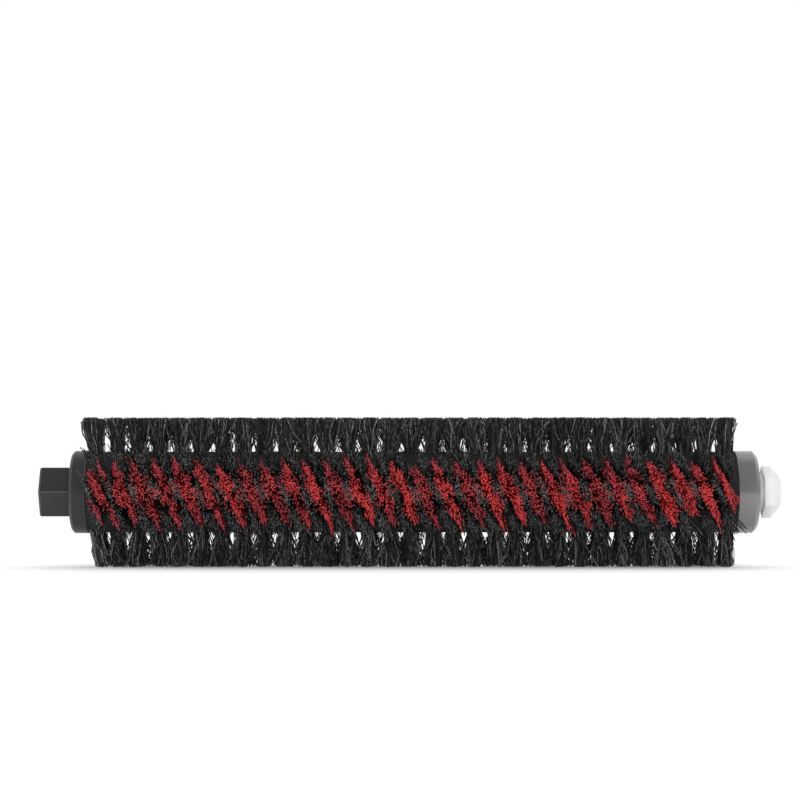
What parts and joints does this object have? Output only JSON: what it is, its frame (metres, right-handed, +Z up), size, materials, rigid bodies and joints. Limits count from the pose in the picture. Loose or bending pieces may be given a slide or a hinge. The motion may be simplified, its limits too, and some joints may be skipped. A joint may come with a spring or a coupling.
{
  "type": "vacuum roller brush",
  "caption": "Bristle roller for a robot vacuum: faceted core set with slanted red and black tufts, a hexagonal drive end, and a hexagonal bearing holder that it spins in.",
  "frame": {"origin": "on the roller's axis, at the middle of the whole length", "axes": "+X along the axis from the drive end to the bearing holder, +Z up, the main red band faces -Y; the roller lies on its lower fringe"},
  "size_m": [0.1976, 0.0402, 0.04],
  "materials": {
    "core_plastic": "black moulded plastic",
    "drive_plastic": "dark grey moulded plastic, satin",
    "idler_plastic": "mid grey moulded plastic, satin gloss",
    "holder_plastic": "natural white moulded plastic",
    "pin_steel": "turned steel",
    "bushing_bronze": "sintered bronze",
    "washer_nylon": "natural nylon",
    "red_bristle": "red nylon bristle",
    "black_bristle": "black nylon bristle"
  },
  "bodies": {
    "roller": {"roller_core": "core_plastic", "drive_end_cap": "drive_plastic", "idler_end_cap": "idler_plastic", "axle_pin": "pin_steel", "thrust_washer": "washer_nylon", "red_tufts_front_upper": "red_bristle", "red_tufts_front_middle": "red_bristle", "red_tufts_front_lower": "red_bristle", "red_tufts_back_upper": "red_bristle", "red_tufts_back_middle": "red_bristle", "red_tufts_back_lower": "red_bristle", "black_tufts_front_upper": "black_bristle", "black_tufts_front_middle": "black_bristle", "black_tufts_front_lower": "black_bristle", "black_tufts_back_upper": "black_bristle", "black_tufts_back_middle": "black_bristle", "black_tufts_back_lower": "black_bristle", "fringe_tufts_top_front": "black_bristle", "fringe_tufts_top_back": "black_bristle", "fringe_tufts_bottom_front": "black_bristle", "fringe_tufts_bottom_back": "black_bristle"},
    "holder": {"bearing_holder": "holder_plastic", "sleeve_bushing": "bushing_bronze"}
  },
  "joints": [
    {"name": "holder_spin", "type": "hinge", "parent": "roller", "child": "holder", "pos_m": [0.0958, 0, 0], "axis": [1, 0, 0], "continuous": true}
  ]
}
